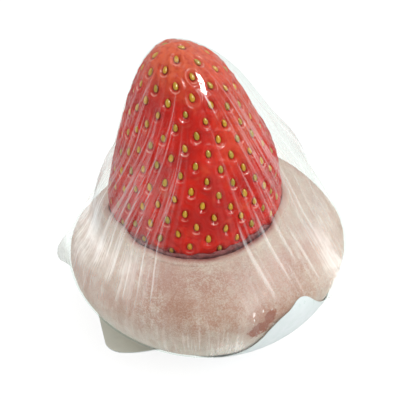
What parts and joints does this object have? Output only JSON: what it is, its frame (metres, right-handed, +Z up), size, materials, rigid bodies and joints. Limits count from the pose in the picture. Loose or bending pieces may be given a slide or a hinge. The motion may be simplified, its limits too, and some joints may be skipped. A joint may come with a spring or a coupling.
{
  "type": "strawberry daifuku in clear film",
  "caption": "Soft pink rice cake with bean paste and a whole upright strawberry, wrapped in clear film with a bare label under the base.",
  "frame": {"origin": "on the surface it stands on, under the middle of the whole", "axes": "+Z up, from the base to the strawberry's tip; -Y towards the front, where the lip of the rice cake dips; +X towards the turned-up side of the label"},
  "size_m": [0.0614, 0.0593, 0.0683],
  "materials": {
    "berry_skin": "shiny",
    "rice_cake": "soft, dusted with starch",
    "bean_paste": "moist",
    "clear_film": "clear, thin",
    "label_paper": "smooth, bare"
  },
  "bodies": {
    "root": {"strawberry": "berry_skin", "bean_paste": "bean_paste", "mochi": "rice_cake", "film": "clear_film", "label": "label_paper"}
  },
  "joints": []
}
